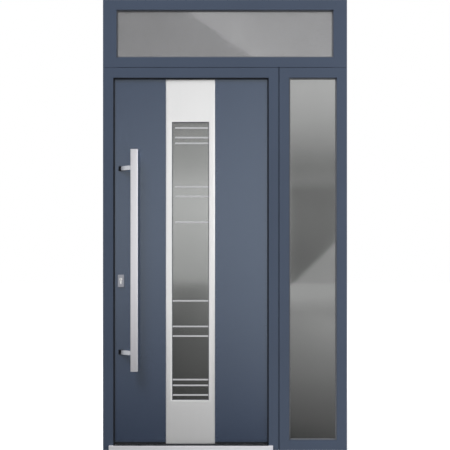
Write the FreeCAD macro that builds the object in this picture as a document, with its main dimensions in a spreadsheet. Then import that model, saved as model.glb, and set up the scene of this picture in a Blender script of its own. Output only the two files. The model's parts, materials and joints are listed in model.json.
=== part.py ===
import FreeCAD, Part
import os
import Sketcher

os.makedirs("parts", exist_ok=True)
doc = FreeCAD.newDocument("entrance_door")

# Driving dimensions, in millimetres. X runs to the right, Y into the house, Z up.
# x = 0 is the middle of the whole frame, y = 0 the middle of its depth, z = 0 its underside.
DIMENSIONS = [
    ("overall_width", 1320, "whole frame, side to side"),
    ("overall_height", 2438, "whole frame, bottom to top"),
    ("side_width", 368, "side light with its frame, side to side"),
    ("top_height", 367, "top light with its frame, bottom to top"),
    ("frame_depth", 90, "frame members, front to back"),
    ("face", 55, "frame members, width seen from outside"),
    ("stop", 15, "frame members, thickness of the outer flange"),
    ("rebate", 33, "frame members, width behind the flange"),
    ("groove", 3, "half of the upright shadow groove between two frames, across"),
    ("level_groove", 1.2, "half of the level shadow groove under the top light, across"),
    ("groove_deep", 8, "shadow groove between two frames, front to back"),
    ("transom_side", 73, "upright members of the top light"),
    ("leaf_gap", 9.4, "leaf edge to the frame's rebate"),
    ("leaf_depth", 68.2, "leaf, front to back"),
    ("leaf_foot", 32, "underside of the leaf above the floor"),
    ("foot_height", 10, "dark profile along the leaf's bottom"),
    ("skin", 2.5, "leaf sheets"),
    ("edge", 40, "leaf edge frame"),
    ("seal_deep", 1.8, "weather seal, front to back"),
    ("seal_out", 7, "weather seal seen beyond the flange"),
    ("seal_hidden", 7, "weather seal behind the flange"),
    ("strip_width", 266, "steel strip on the leaf"),
    ("strip_drop", 62, "door frame's top to the steel strip's top end"),
    ("strip_proud", 1.8, "steel strip in front of the leaf's sheet"),
    ("strip_shift", 3.5, "steel strip off the leaf's middle, towards the lock"),
    ("window_width", 201.6, "opening in the steel strip"),
    ("window_low", 268.7, "lower edge of that opening above the floor"),
    ("window_drop", 291.7, "door frame's top to the opening's upper edge"),
    ("pane", 6, "one glass pane"),
    ("pane_gap", 16, "space between two panes of a fixed light"),
    ("leaf_pane_back", 30, "back pane of the leaf behind its front pane"),
    ("spacer", 12, "width of the bar between two panes"),
    ("leaf_spacer", 14, "the same in the leaf"),
    ("pane_hidden", 11, "glass edge covered by the steel strip"),
    ("pane_free", 1, "glass edge to the leaf's core"),
    ("leaf_gasket", 2, "gasket behind the leaf's outer sheet, front to back"),
    ("glazing_wall", 8, "inside glazing frame, width of its tube"),
    ("glazing_flange", 22, "inside glazing frame, width over the leaf's sheet"),
    ("glazing_proud", 3, "inside glazing frame in front of that sheet"),
    ("glass_hidden", 15, "glass edge covered by the frame"),
    ("gasket_deep", 4, "outer glazing gasket, front to back"),
    ("gasket_seen", 7, "glazing gasket seen beyond the frame"),
    ("leaf_gasket_seen", 4, "glazing gasket seen inside the leaf's opening"),
    ("bead", 20, "glazing bead, width"),
    ("bead_split", 0.2, "open joint between two beads"),
    ("bar_width", 39, "pull bar, side to side"),
    ("bar_thick", 20, "pull bar, front to back"),
    ("bar_length", 1192, "pull bar"),
    ("bar_inset", 131.3, "leaf's lock edge to the middle of the pull bar"),
    ("bar_z", 1027.5, "middle of the pull bar above the floor"),
    ("bar_off", 75, "leaf face to the middle of the pull bar"),
    ("bar_round", 2, "edge radius of the pull bar"),
    ("post_height", 24, "slanted posts of the pull bar, bottom to top"),
    ("post_width", 22, "slanted posts of the pull bar, side to side along the leaf"),
    ("post_spacing", 996.5, "between the two posts"),
    ("post_reach", 79.5, "post foot to the middle of the bar, sideways"),
    ("post_slant", 68.5, "post foot to its front end, sideways"),
    ("lock_inset", 53, "leaf's lock edge to the lock cylinder"),
    ("lock_z", 916.5, "middle of the lock plate above the floor"),
    ("lock_width", 32, "lock plate"),
    ("lock_height", 67, "lock plate"),
    ("lock_thick", 8, "lock plate"),
    ("lock_round", 3, "lock plate, corners"),
    ("lock_screw", 2, "radius of the screw sockets in the lock plates"),
    ("lock_screw_off", 24, "screw sockets above and below the plate's middle"),
    ("lock_screw_deep", 1.5, "depth of those sockets"),
    ("key_radius", 8.5, "round part of the lock cylinder"),
    ("key_slot", 10, "width of the cylinder's lower part"),
    ("key_drop", 19.5, "round centre to the lower part's round end"),
    ("key_shift", 8, "round centre above the middle of the lock plate"),
    ("key_proud", 1.5, "lock cylinder in front of its plate"),
    ("lever_z", 1010.5, "inside lever above the floor"),
    ("rose_radius", 26, "disc under the inside lever"),
    ("rose_thick", 8, "disc under the inside lever"),
    ("lever_radius", 9, "inside lever"),
    ("lever_neck", 45, "leaf disc to the lever's middle"),
    ("lever_length", 125, "inside lever"),
    ("lock_case_low", 150, "edge plate of the lock, below the lever"),
    ("lock_case_high", 120, "edge plate of the lock, above the lever"),
    ("edge_plate", 3, "thickness of the lock's edge plate and strike plate"),
    ("edge_plate_width", 24, "width of the lock's edge plate"),
    ("strike_plate_thick", 2.1, "strike plate in the jamb"),
    ("strike_border", 5, "strike plate beside its windows"),
    ("strike_bolt", 35, "lower window of the strike plate above its foot"),
    ("strike_latch", 125, "upper window of the strike plate above its foot"),
    ("strike_window", 50, "height of those windows"),
    ("sill_nose", 20, "threshold in front of the frame"),
    ("sill_low", 27, "threshold height at its front edge"),
    ("sill_high", 28, "threshold height under the leaf"),
    ("sill_slope", 36, "depth of the threshold's falling part"),
    ("sill_edge", 1.5, "threshold's front edge, bevel"),
    ("hinge_low", 250, "middle of the lowest hinge above the floor"),
    ("hinge_drop", 261, "door frame's top to the middle of the highest hinge"),
    ("hinge_out", 12, "hinge axis behind the frame's inner face"),
    ("knuckle_radius", 9, "hinge barrel"),
    ("knuckle_length", 36, "each of the three parts of a barrel"),
    ("knuckle_gap", 1, "between two parts of a barrel"),
    ("pin_radius", 5, "hinge pin"),
    ("pin_free", 0.05, "hinge pin to its bore"),
    ("hinge_plate", 3, "hinge plates, thickness"),
    ("hinge_flap", 25, "hinge plates, width"),
    ("hinge_clear", 10, "hinge axis to the near edge of a plate"),
    ("hinge_web", 4, "hinge web behind its plate"),
    ("hinge_lap", 4, "hinge web over its plate, sideways"),
    ("hinge_sink", 0.5, "hinge web off the frame"),
    ("pin_end", 1, "hinge pin beyond its barrel"),
    ("pin_cap", 3.5, "thickness of a pin's cap"),
    ("pin_lip", 0.5, "cap off the barrel"),
    ("fixing_radius", 4, "holes for the wall screws"),
    ("fixing_low", 250, "lowest wall screw above the floor"),
    ("fixing_step", 520, "between two wall screws of a pair"),
    ("fixing_drop", 251, "door frame's top to the highest wall screw"),
    ("spare", 5, "how far a cut runs past the metal it cuts"),
]

sheet = doc.addObject("Spreadsheet::Sheet", "Sizes")
for row, (alias, value, note) in enumerate(DIMENSIONS, start=1):
    sheet.set(f"A{row}", note)
    sheet.set(f"B{row}", str(value))
    sheet.setAlias(f"B{row}", alias)
doc.recompute()


class Size:
    """A length that keeps its number together with the sheet formula that gives it."""

    def __init__(self, value, text):
        self.value = float(value)
        self.text = text

    def __add__(self, other):
        other = as_size(other)
        return Size(self.value + other.value, f"({self.text} + {other.text})")

    def __sub__(self, other):
        other = as_size(other)
        return Size(self.value - other.value, f"({self.text} - {other.text})")

    def __mul__(self, number):
        return Size(self.value * number, f"({self.text} * {number})")

    def __truediv__(self, number):
        return Size(self.value / number, f"({self.text} / {number})")

    def __neg__(self):
        return Size(-self.value, f"(0 - {self.text})")


def as_size(value):
    if isinstance(value, Size):
        return value
    if value < 0:
        return Size(value, f"(0 - {abs(value)})")
    return Size(value, str(value))


S = {alias: Size(value, f"Sizes.{alias}") for alias, value, _ in DIMENSIONS}

# Positions that several pieces share.
FRONT = -S["frame_depth"] / 2
BACK = S["frame_depth"] / 2
STOP_BACK = FRONT + S["stop"]
LEFT = -S["overall_width"] / 2
RIGHT = S["overall_width"] / 2
TOP = S["overall_height"]
JOINT_X = RIGHT - S["side_width"]
JOINT_Z = TOP - S["top_height"]
UNIT_WIDTH = S["overall_width"] - S["side_width"]
SPARE = S["spare"]
HIDE = S["rebate"] + S["leaf_gap"]
LEAF_LEFT = LEFT + HIDE
LEAF_RIGHT = JOINT_X - HIDE
LEAF_TOP = JOINT_Z - HIDE
LEAF_FOOT = S["leaf_foot"]
LEAF_SHEET_FOOT = LEAF_FOOT + S["foot_height"]
LEAF_FRONT = BACK - S["leaf_depth"]
STRIP_X = (LEAF_LEFT + LEAF_RIGHT) / 2 - S["strip_shift"]
WINDOW_LEFT = STRIP_X - S["window_width"] / 2
WINDOW_RIGHT = STRIP_X + S["window_width"] / 2
WINDOW_LOW = S["window_low"]
WINDOW_HIGH = JOINT_Z - S["window_drop"]
WINDOW_HEIGHT = WINDOW_HIGH - WINDOW_LOW
STRIP_FRONT = LEAF_FRONT - S["strip_proud"]

NODES = []


def bind(thing, path, size):
    thing.setExpression(path, as_size(size).text)


def place(thing, x=0, y=0, z=0):
    """Put a piece at its own place in the shared frame."""
    x, y, z = as_size(x), as_size(y), as_size(z)
    thing.Placement.Base = FreeCAD.Vector(x.value, y.value, z.value)
    for path, size in (("x", x), ("y", y), ("z", z)):
        bind(thing, ".Placement.Base." + path, size)


def new_body(label):
    thing = doc.addObject("PartDesign::Body", label)
    thing.Label = label
    return thing


def origin_feature(body, role):
    return [item for item in body.Origin.OriginFeatures if item.Role == role][0]


def new_sketch(body, plane, name, offset=0):
    sketch = doc.addObject("Sketcher::SketchObject", body.Name + "_" + name)
    body.addObject(sketch)
    sketch.AttachmentSupport = [(origin_feature(body, plane), "")]
    sketch.MapMode = "FlatFace"
    offset = as_size(offset)
    if offset.text != "0":
        sketch.AttachmentOffset.Base = FreeCAD.Vector(0, 0, offset.value)
        bind(sketch, ".AttachmentOffset.Base.z", offset)
    return sketch


def polygon(sketch, points):
    """A closed outline whose every corner is held by two dimensions."""
    points = [(as_size(u), as_size(v)) for u, v in points]
    first = sketch.GeometryCount
    count = len(points)
    for index in range(count):
        a = points[index]
        b = points[(index + 1) % count]
        start = FreeCAD.Vector(a[0].value, a[1].value, 0)
        end = FreeCAD.Vector(b[0].value, b[1].value, 0)
        sketch.addGeometry(Part.LineSegment(start, end), False)
    for index in range(count):
        here = first + index
        after = first + (index + 1) % count
        sketch.addConstraint(Sketcher.Constraint("Coincident", here, 2, after, 1))
    for index in range(count):
        here = first + index
        for kind, size in (("DistanceX", points[index][0]), ("DistanceY", points[index][1])):
            number = sketch.addConstraint(Sketcher.Constraint(kind, -1, 1, here, 1, size.value))
            sketch.setExpression(f"Constraints[{number}]", size.text)


def rectangle(sketch, u0, v0, u1, v1):
    polygon(sketch, [(u0, v0), (u1, v0), (u1, v1), (u0, v1)])


def circle(sketch, u, v, radius):
    u, v, radius = as_size(u), as_size(v), as_size(radius)
    centre = FreeCAD.Vector(u.value, v.value, 0)
    here = sketch.addGeometry(Part.Circle(centre, FreeCAD.Vector(0, 0, 1), radius.value), False)
    number = sketch.addConstraint(Sketcher.Constraint("Radius", here, radius.value))
    sketch.setExpression(f"Constraints[{number}]", radius.text)
    for kind, size in (("DistanceX", u), ("DistanceY", v)):
        number = sketch.addConstraint(Sketcher.Constraint(kind, -1, 1, here, 3, size.value))
        sketch.setExpression(f"Constraints[{number}]", size.text)


def pad(body, sketch, length, reverse=False):
    thing = doc.addObject("PartDesign::Pad", body.Name + "_pad")
    body.addObject(thing)
    thing.Profile = sketch
    thing.Reversed = reverse
    thing.Length = as_size(length).value
    bind(thing, "Length", length)
    body.Tip = thing
    sketch.Visibility = False
    return thing


def cut_through(body, sketch):
    """Remove the outline's shape both ways right through the body."""
    thing = doc.addObject("PartDesign::Pocket", body.Name + "_cut")
    body.addObject(thing)
    thing.Profile = sketch
    thing.Type = "ThroughAll"
    thing.SideType = "Symmetric"
    body.Tip = thing
    sketch.Visibility = False
    return thing


def cut_deep(body, sketch, depth, reverse=False):
    thing = doc.addObject("PartDesign::Pocket", body.Name + "_recess")
    body.addObject(thing)
    thing.Profile = sketch
    thing.Length = as_size(depth).value
    bind(thing, "Length", depth)
    thing.Reversed = reverse
    body.Tip = thing
    sketch.Visibility = False
    return thing


def repeat(body, originals, axis, step, count):
    """Equal copies along one of the body's own axes."""
    thing = doc.addObject("PartDesign::LinearPattern", body.Name + "_row")
    body.addObject(thing)
    thing.Originals = originals
    thing.Direction = (origin_feature(body, axis), [""])
    span = as_size(step) * (count - 1)
    thing.Length = span.value
    bind(thing, "Length", span)
    thing.Occurrences = count
    body.Tip = thing
    return thing


def node(thing):
    NODES.append(thing)
    return thing


# Frame members share one section: a flange in front, a narrower block behind it.
def upright(label, x, side, width, back_width, low, length, mitres, grooved=False):
    """An upright member; side is 1 where the outer face looks left, -1 where it looks right.

    A grooved member has a step along its front outer edge, where it meets the next frame.
    """
    body = new_body(label)
    place(body, x, 0, low)
    step = S["groove"]
    section = new_sketch(body, "XY_Plane", "section")
    corners = [
        (width, FRONT),
        (width, STOP_BACK),
        (back_width, STOP_BACK),
        (back_width, BACK),
        (0, BACK),
    ]
    if grooved:
        corners += [(0, FRONT + S["groove_deep"]), (step, FRONT + S["groove_deep"]), (step, FRONT)]
    else:
        corners.append((0, FRONT))
    polygon(section, [(as_size(u) * side, v) for u, v in corners])
    pad(body, section, length)
    for end in mitres:
        cutter = new_sketch(body, "XZ_Plane", "mitre_" + end)
        tip = as_size(length) if end == "top" else as_size(0)
        way = 1 if end == "top" else -1
        a = (-SPARE * side, tip + SPARE * way)
        b = ((width + SPARE) * side, tip - (width + SPARE) * way)
        d = ((width + SPARE) * side, tip + SPARE * way)
        polygon(cutter, [a, b, d])
        cut_through(body, cutter)
    return body


def crosspiece(label, x, z, side, length, mitred=True, notch=None, grooved=False):
    """A level member; side is 1 where the outer face looks up, -1 where it looks down."""
    width = S["face"]
    back_width = S["rebate"]
    body = new_body(label)
    place(body, x, 0, z)
    step = S["level_groove"]
    section = new_sketch(body, "YZ_Plane", "section")
    corners = [
        (FRONT, width),
        (STOP_BACK, width),
        (STOP_BACK, back_width),
        (BACK, back_width),
        (BACK, 0),
    ]
    if grooved:
        corners += [(FRONT + S["groove_deep"], 0), (FRONT + S["groove_deep"], step), (FRONT, step)]
    else:
        corners.append((FRONT, 0))
    polygon(section, [(u, as_size(v) * (-side)) for u, v in corners])
    pad(body, section, length)
    if mitred:
        for end in ("near", "far"):
            cutter = new_sketch(body, "XZ_Plane", "mitre_" + end)
            tip = as_size(0) if end == "near" else as_size(length)
            way = -1 if end == "near" else 1
            a = (tip + SPARE * way, SPARE * side)
            b = (tip - (width + SPARE) * way, (width + SPARE) * (-side))
            d = (tip + SPARE * way, (width + SPARE) * (-side))
            polygon(cutter, [a, b, d])
            cut_through(body, cutter)
    if notch is not None:
        cutter = new_sketch(body, "XY_Plane", "notch")
        rectangle(cutter, -SPARE, FRONT - SPARE, notch, STOP_BACK)
        rectangle(cutter, length - notch, FRONT - SPARE, length + SPARE, STOP_BACK)
        cut_through(body, cutter)
    return body


def side_holes(body, y, heights):
    """Holes for wall screws, right through an upright member."""
    drill = new_sketch(body, "YZ_Plane", "wall_screws")
    for height in heights:
        circle(drill, y, height, S["fixing_radius"])
    cut_through(body, drill)


SCREWS = [
    S["fixing_low"],
    S["fixing_low"] + S["fixing_step"],
    JOINT_Z - S["fixing_drop"] - S["fixing_step"],
    JOINT_Z - S["fixing_drop"],
]

# Door frame.
lock_jamb = node(upright("door_jamb_lock", LEFT, 1, S["face"], S["rebate"], 0, JOINT_Z, ["top"]))
side_holes(lock_jamb, 0, SCREWS)
hinge_jamb = node(upright(
    "door_jamb_hinge", JOINT_X, -1, S["face"], S["rebate"], 0, JOINT_Z, ["top"], grooved=True,
))
door_head = node(crosspiece("door_head", LEFT, JOINT_Z, 1, UNIT_WIDTH, grooved=True))

# Strike plate, let into the lock jamb.
PLATE_LOW = S["lever_z"] - S["lock_case_low"]
PLATE_HIGH = S["lever_z"] + S["lock_case_high"]
PLATE_Y = LEAF_FRONT + S["leaf_depth"] / 2
STRIKE = S["strike_plate_thick"]
recess = new_sketch(lock_jamb, "XZ_Plane", "strike", -(PLATE_Y + S["edge_plate_width"] / 2))
rectangle(recess, S["rebate"] - STRIKE, PLATE_LOW, S["rebate"] + SPARE, PLATE_HIGH)
cut_deep(lock_jamb, recess, S["edge_plate_width"], True)
strike = node(new_body("strike_plate"))
place(strike, LEFT + S["rebate"] - STRIKE, PLATE_Y - S["edge_plate_width"] / 2, PLATE_LOW)
outline = new_sketch(strike, "XY_Plane", "section")
rectangle(outline, 0, 0, STRIKE, S["edge_plate_width"])
pad(strike, outline, PLATE_HIGH - PLATE_LOW)
for low, name in ((S["strike_bolt"], "bolt"), (S["strike_latch"], "latch")):
    window = new_sketch(strike, "YZ_Plane", name)
    border = S["strike_border"]
    rectangle(window, border, low, S["edge_plate_width"] - border, low + S["strike_window"])
    cut_through(strike, window)

# Threshold: flat under the leaf, with a slight fall in front of it and horns that lap the jambs.
sill = node(new_body("threshold"))
place(sill, LEFT + S["rebate"], 0, 0)
SILL_LENGTH = UNIT_WIDTH - S["rebate"] * 2
SILL_FRONT = FRONT - S["sill_nose"]
section = new_sketch(sill, "YZ_Plane", "section")
polygon(section, [
    (SILL_FRONT, 0),
    (SILL_FRONT, S["sill_low"] - S["sill_edge"]),
    (SILL_FRONT + S["sill_edge"], S["sill_low"]),
    (SILL_FRONT + S["sill_slope"], S["sill_high"]),
    (BACK, S["sill_high"]),
    (BACK, 0),
])
pad(sill, section, SILL_LENGTH)
LAP = S["face"] - S["rebate"]
notches = new_sketch(sill, "XY_Plane", "jamb_notches")
rectangle(notches, -SPARE, FRONT, LAP, STOP_BACK)
rectangle(notches, SILL_LENGTH - LAP, FRONT, SILL_LENGTH + SPARE, STOP_BACK)
cut_through(sill, notches)

# Dark weather seal round three sides of the doorway, clear of the leaf.
seal = node(new_body("door_weather_seal"))
place(seal, LEFT + S["face"], STOP_BACK, S["sill_high"])
SEAL_WIDE = UNIT_WIDTH - S["face"] * 2
SEAL_HIGH = JOINT_Z - S["face"] - S["sill_high"]
outline = new_sketch(seal, "XZ_Plane", "outline")
polygon(outline, [
    (-S["seal_hidden"], 0),
    (S["seal_out"], 0),
    (S["seal_out"], SEAL_HIGH - S["seal_out"]),
    (SEAL_WIDE - S["seal_out"], SEAL_HIGH - S["seal_out"]),
    (SEAL_WIDE - S["seal_out"], 0),
    (SEAL_WIDE + S["seal_hidden"], 0),
    (SEAL_WIDE + S["seal_hidden"], SEAL_HIGH + S["seal_hidden"]),
    (-S["seal_hidden"], SEAL_HIGH + S["seal_hidden"]),
])
pad(seal, outline, S["seal_deep"], True)


# A fixed light: panes, spacer, gaskets and beads behind the flanges of its own frame.
def ring(label, x, y, z, wide, high, border, deep):
    """A closed rectangular ring that starts at y and runs back."""
    body = new_body(label)
    place(body, x, y, z)
    outline = new_sketch(body, "XZ_Plane", "outline")
    rectangle(outline, 0, 0, wide, high)
    rectangle(outline, border, border, as_size(wide) - border, as_size(high) - border)
    pad(body, outline, deep, True)
    return body


def fixed_light(name, x0, z0, x1, z1):
    """x0 to x1 and z0 to z1 are the edges of the opening seen from outside."""
    wide = x1 - x0
    high = z1 - z0
    hidden = S["glass_hidden"]
    pane_front = STOP_BACK + S["gasket_deep"]
    unit = S["pane"] * 2 + S["pane_gap"]
    panes = node(new_body(name + "_panes"))
    place(panes, x0 - hidden, pane_front, z0 - hidden)
    section = new_sketch(panes, "XY_Plane", "section")
    rectangle(section, 0, 0, wide + hidden * 2, S["pane"])
    rectangle(section, 0, S["pane"] + S["pane_gap"], wide + hidden * 2, unit)
    pad(panes, section, high + hidden * 2)
    node(ring(
        name + "_spacer", x0 - hidden, pane_front + S["pane"], z0 - hidden,
        wide + hidden * 2, high + hidden * 2, S["spacer"], S["pane_gap"],
    ))
    seen = S["gasket_seen"]
    node(ring(
        name + "_gasket", x0 - hidden, STOP_BACK, z0 - hidden,
        wide + hidden * 2, high + hidden * 2, hidden + seen, S["gasket_deep"],
    ))
    beads = node(new_body(name + "_beads"))
    back_step = S["face"] - S["rebate"]
    place(beads, x0 - back_step, pane_front + unit, z0 - back_step)
    outline = new_sketch(beads, "XZ_Plane", "outline")
    full_wide = wide + back_step * 2
    full_high = high + back_step * 2
    bead = S["bead"]
    split = S["bead_split"]
    rectangle(outline, 0, 0, bead, full_high)
    rectangle(outline, full_wide - bead, 0, full_wide, full_high)
    rectangle(outline, bead + split, 0, full_wide - bead - split, bead)
    rectangle(outline, bead + split, full_high - bead, full_wide - bead - split, full_high)
    pad(beads, outline, BACK - pane_front - unit, True)


# Side light, right of the door frame.
face = S["face"]
back_face = S["rebate"]
both = ["bottom", "top"]
node(upright("sidelight_stile_left", JOINT_X, 1, face, back_face, 0, JOINT_Z, both, grooved=True))
right_stile = node(upright("sidelight_stile_right", RIGHT, -1, face, back_face, 0, JOINT_Z, both))
side_holes(right_stile, 0, SCREWS)
SIDE_WIDTH = RIGHT - JOINT_X
node(crosspiece("sidelight_head", JOINT_X, JOINT_Z, 1, SIDE_WIDTH, grooved=True))
node(crosspiece("sidelight_sill", JOINT_X, 0, -1, SIDE_WIDTH))
fixed_light("sidelight", JOINT_X + face, face, RIGHT - face, JOINT_Z - face)

# Top light, over both.
tall = S["transom_side"]
tall_back = tall - (face - back_face)
TRANSOM_HEIGHT = TOP - JOINT_Z
node(upright("transom_stile_left", LEFT, 1, tall, tall_back, JOINT_Z, TRANSOM_HEIGHT, []))
node(upright("transom_stile_right", RIGHT, -1, tall, tall_back, JOINT_Z, TRANSOM_HEIGHT, []))
RAIL = S["overall_width"] - tall_back * 2
flange_step = tall - tall_back
top_rail = node(crosspiece(
    "transom_head", LEFT + tall_back, TOP, 1, RAIL, mitred=False, notch=flange_step,
))
node(crosspiece(
    "transom_sill", LEFT + tall_back, JOINT_Z, -1, RAIL, mitred=False, notch=flange_step,
    grooved=True,
))
drill = new_sketch(top_rail, "XY_Plane", "wall_screws")
middle = RAIL / 2
circle(drill, middle - S["overall_width"] / 4, 0, S["fixing_radius"])
circle(drill, middle + S["overall_width"] / 4, 0, S["fixing_radius"])
cut_through(top_rail, drill)
fixed_light("transom", LEFT + tall, JOINT_Z + face, RIGHT - tall, TOP - face)

# Leaf. Its two sheets, core and edge frame all leave the window open.
LEAF_WIDE = LEAF_RIGHT - LEAF_LEFT
LEAF_HIGH = LEAF_TOP - LEAF_SHEET_FOOT


def window_outline(sketch, grow=0):
    """The window, in a body placed at the leaf sheet's lower left corner."""
    rectangle(
        sketch,
        WINDOW_LEFT - LEAF_LEFT - grow,
        WINDOW_LOW - LEAF_SHEET_FOOT - grow,
        WINDOW_RIGHT - LEAF_LEFT + grow,
        WINDOW_HIGH - LEAF_SHEET_FOOT + grow,
    )


def leaf_plate(label, y, deep, grow=0):
    body = new_body(label)
    place(body, LEAF_LEFT, y, LEAF_SHEET_FOOT)
    outline = new_sketch(body, "XZ_Plane", "outline")
    rectangle(outline, 0, 0, LEAF_WIDE, LEAF_HIGH)
    window_outline(outline, grow)
    pad(body, outline, deep, True)
    return body


KEY_X = LEAF_LEFT + S["lock_inset"]
KEY_Z = S["lock_z"] + S["key_shift"]
CORE_FRONT = LEAF_FRONT + S["skin"]
CORE_DEEP = S["leaf_depth"] - S["skin"] * 2


def key_hole(body, x0, z0, extra=0):
    """A round hole and a slot below it, right through, for the lock cylinder."""
    hole = new_sketch(body, "XZ_Plane", "key_round")
    circle(hole, KEY_X - x0, KEY_Z - z0, S["key_radius"] + extra)
    cut_through(body, hole)
    slot = new_sketch(body, "XZ_Plane", "key_slot")
    half = S["key_slot"] / 2 + extra
    rectangle(
        slot,
        KEY_X - x0 - half,
        KEY_Z - z0 - S["key_drop"] - half,
        KEY_X - x0 + half,
        KEY_Z - z0,
    )
    cut_through(body, slot)


outer_skin = node(leaf_plate("leaf_outer_skin", LEAF_FRONT, S["skin"]))
key_hole(outer_skin, LEAF_LEFT, LEAF_SHEET_FOOT)
inner_skin = node(leaf_plate("leaf_inner_skin", BACK - S["skin"], S["skin"]))
key_hole(inner_skin, LEAF_LEFT, LEAF_SHEET_FOOT)
edge_frame = node(ring(
    "leaf_edge_frame", LEAF_LEFT, CORE_FRONT, LEAF_SHEET_FOOT,
    LEAF_WIDE, LEAF_HIGH, S["edge"], CORE_DEEP,
))
core = node(new_body("leaf_core"))
place(core, LEAF_LEFT, CORE_FRONT, LEAF_SHEET_FOOT)
outline = new_sketch(core, "XZ_Plane", "outline")
rectangle(outline, S["edge"], S["edge"], LEAF_WIDE - S["edge"], LEAF_HIGH - S["edge"])
window_outline(outline, S["pane_hidden"] + S["pane_free"])
pad(core, outline, CORE_DEEP, True)
key_hole(core, LEAF_LEFT, LEAF_SHEET_FOOT)

foot = node(new_body("leaf_foot_profile"))
place(foot, LEAF_LEFT, LEAF_FRONT, LEAF_FOOT)
section = new_sketch(foot, "XY_Plane", "section")
rectangle(section, 0, 0, LEAF_WIDE, S["leaf_depth"])
pad(foot, section, S["foot_height"])

strip = node(new_body("leaf_strip"))
place(strip, STRIP_X - S["strip_width"] / 2, STRIP_FRONT, LEAF_FOOT)
outline = new_sketch(strip, "XZ_Plane", "outline")
rectangle(outline, 0, 0, S["strip_width"], JOINT_Z - S["strip_drop"] - LEAF_FOOT)
margin = (S["strip_width"] - S["window_width"]) / 2
rectangle(
    outline, margin, WINDOW_LOW - LEAF_FOOT, margin + S["window_width"], WINDOW_HIGH - LEAF_FOOT,
)
pad(strip, outline, S["strip_proud"], True)

# The leaf's panes stand in the core's wider opening, held by a frame on the inside.
HIDDEN = S["pane_hidden"]
PANE_FRONT = CORE_FRONT + S["leaf_gasket"]
GLASS_WIDE = S["window_width"] + HIDDEN * 2
GLASS_HIGH = WINDOW_HEIGHT + HIDDEN * 2
panes = node(new_body("leaf_panes"))
place(panes, WINDOW_LEFT - HIDDEN, PANE_FRONT, WINDOW_LOW - HIDDEN)
section = new_sketch(panes, "XY_Plane", "section")
rectangle(section, 0, 0, GLASS_WIDE, S["pane"])
rectangle(section, 0, S["leaf_pane_back"], GLASS_WIDE, S["leaf_pane_back"] + S["pane"])
pad(panes, section, GLASS_HIGH)
node(ring(
    "leaf_pane_spacer", WINDOW_LEFT - HIDDEN, PANE_FRONT + S["pane"], WINDOW_LOW - HIDDEN,
    GLASS_WIDE, GLASS_HIGH, S["leaf_spacer"], S["leaf_pane_back"] - S["pane"],
))
node(ring(
    "leaf_glass_gasket", WINDOW_LEFT - HIDDEN, CORE_FRONT, WINDOW_LOW - HIDDEN,
    GLASS_WIDE, GLASS_HIGH, HIDDEN + S["leaf_gasket_seen"], S["leaf_gasket"],
))
BACK_PANE = PANE_FRONT + S["leaf_pane_back"] + S["pane"]
WALL = S["glazing_wall"]
FLANGE = S["glazing_flange"]
inside_frame = node(new_body("leaf_glazing_frame"))
place(inside_frame, WINDOW_LEFT, BACK_PANE, WINDOW_LOW)
outline = new_sketch(inside_frame, "XZ_Plane", "tube")
rectangle(outline, 0, 0, S["window_width"], WINDOW_HEIGHT)
rectangle(outline, WALL, WALL, S["window_width"] - WALL, WINDOW_HEIGHT - WALL)
pad(inside_frame, outline, BACK - BACK_PANE, True)
outline = new_sketch(inside_frame, "XZ_Plane", "flange", -(BACK - BACK_PANE))
rectangle(outline, -FLANGE, -FLANGE, S["window_width"] + FLANGE, WINDOW_HEIGHT + FLANGE)
rectangle(outline, WALL, WALL, S["window_width"] - WALL, WINDOW_HEIGHT - WALL)
pad(inside_frame, outline, S["glazing_proud"], True)

# Pull bar on two slanted posts.
BAR_X = LEAF_LEFT + S["bar_inset"]
BAR_Y = LEAF_FRONT - S["bar_off"]
bar = node(new_body("pull_bar"))
place(bar, BAR_X, BAR_Y, S["bar_z"] - S["bar_length"] / 2)
section = new_sketch(bar, "XY_Plane", "section")
rectangle(section, -S["bar_width"] / 2, -S["bar_thick"] / 2, S["bar_width"] / 2, S["bar_thick"] / 2)
plain_bar = pad(bar, section, S["bar_length"])
doc.recompute()
names = []
for number, line in enumerate(plain_bar.Shape.Edges, start=1):
    if abs(line.tangentAt(line.FirstParameter).z) > 0.99:
        names.append(f"Edge{number}")
rounding = doc.addObject("PartDesign::Fillet", "pull_bar_rounding")
bar.addObject(rounding)
rounding.Base = (plain_bar, names)
rounding.Radius = S["bar_round"].value
bind(rounding, "Radius", S["bar_round"])
bar.Tip = rounding

# Each post is a flat piece on a slant, cut square to the leaf and to the bar's back.
REACH_Y = S["bar_off"] - S["bar_thick"] / 2
HALF_POST = S["post_width"] / 2
posts = node(new_body("pull_posts"))
place(
    posts, BAR_X - S["post_reach"], LEAF_FRONT,
    S["bar_z"] - S["post_spacing"] / 2 - S["post_height"] / 2,
)
section = new_sketch(posts, "XY_Plane", "section")
polygon(section, [
    (-HALF_POST, 0),
    (HALF_POST, 0),
    (S["post_slant"] + HALF_POST, -REACH_Y),
    (S["post_slant"] - HALF_POST, -REACH_Y),
])
low_post = pad(posts, section, S["post_height"])
repeat(posts, [low_post], "Z_Axis", S["post_spacing"], 2)

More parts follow.
